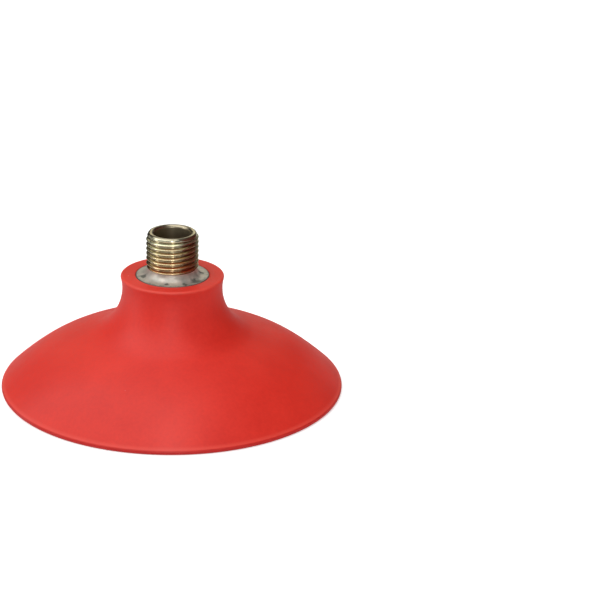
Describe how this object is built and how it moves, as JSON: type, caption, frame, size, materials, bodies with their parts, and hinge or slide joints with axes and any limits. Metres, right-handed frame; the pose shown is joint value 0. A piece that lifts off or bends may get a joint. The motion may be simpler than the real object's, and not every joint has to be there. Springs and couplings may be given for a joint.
{
  "type": "vacuum suction cup",
  "caption": "Flat silicone vacuum suction cup bonded to a flanged metal insert with a hollow threaded nipple; the cup flattens as it grips.",
  "frame": {"origin": "centre of the lip's sealing band, on the surface that the cup rests on", "axes": "+Z along the cup's axis, from the suction face towards the threaded end; X and Y are alike"},
  "size_m": [0.105, 0.105, 0.0499],
  "materials": {
    "red_silicone": "matte moulded silicone rubber",
    "grey_metal": "dull blasted grey steel with the dark specks of bonding primer",
    "yellow_zinc": "turned steel, zinc plated and yellow passivated, iridescent"
  },
  "bodies": {
    "cup": {"suction_cup": "red_silicone"},
    "insert": {"support_flange": "grey_metal", "threaded_nipple": "yellow_zinc"}
  },
  "joints": [
    {"name": "lip_compression", "type": "slide", "parent": "cup", "child": "insert", "axis": [0, 0, 1], "range_m": [-0.008, 0], "stiffness_N_per_m": 5000, "deforming": ["suction_cup"]}
  ]
}
